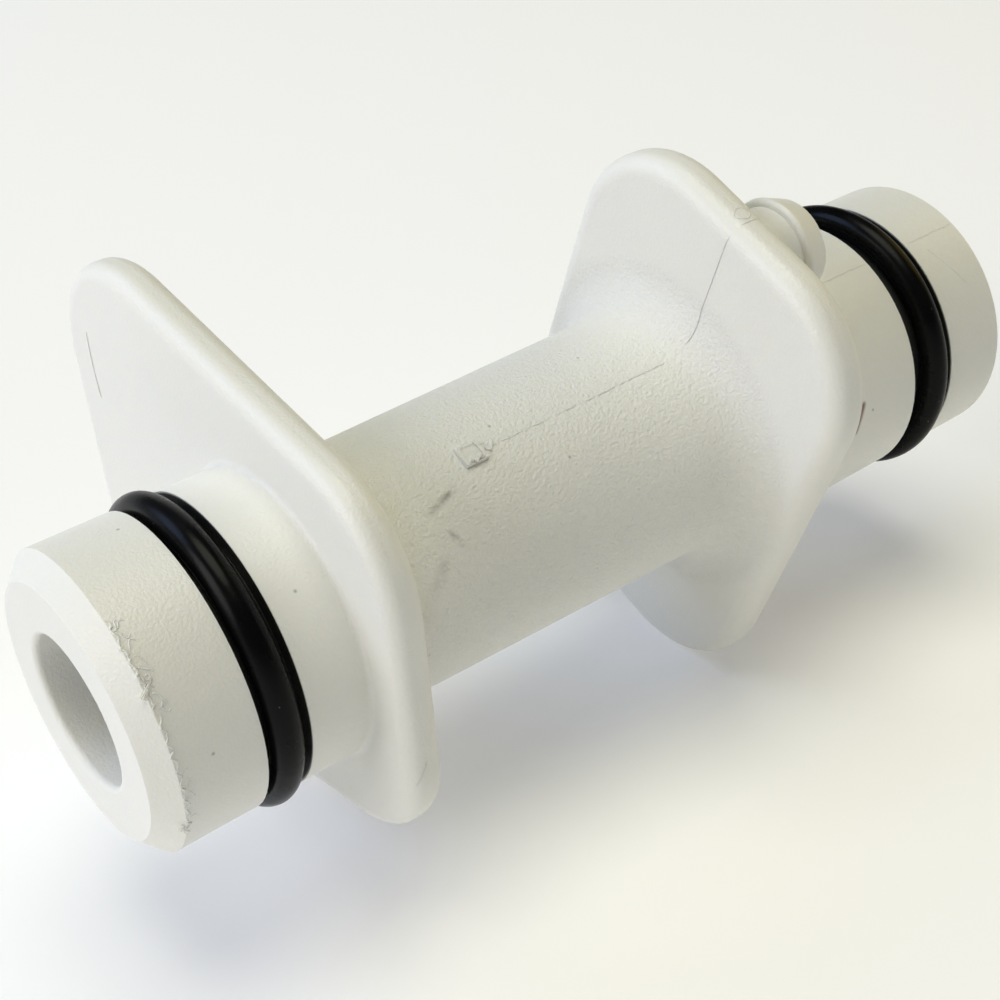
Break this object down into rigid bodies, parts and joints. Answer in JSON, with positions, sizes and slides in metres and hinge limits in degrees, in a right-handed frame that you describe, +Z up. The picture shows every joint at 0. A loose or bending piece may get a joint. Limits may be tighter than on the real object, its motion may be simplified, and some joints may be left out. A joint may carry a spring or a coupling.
{
  "type": "thru hull fitting",
  "caption": "Straight moulded push-in through fitting with ringed spigots, an offset stop plate, an oblong flange and a through bore.",
  "frame": {"origin": "centre of the bore at the near end face, the end beside the offset plate", "axes": "+X along the bore from the near end to the far end, +Y along the near plate's longer reach, +Z up"},
  "size_m": [0.0923, 0.0532, 0.051],
  "materials": {
    "moulded_body": "fine spark-eroded texture, slightly translucent",
    "sealing_ring": "smooth satin"
  },
  "bodies": {
    "root": {"fitting_body": "moulded_body", "near_sealing_ring": "sealing_ring", "far_sealing_ring": "sealing_ring"}
  },
  "joints": []
}
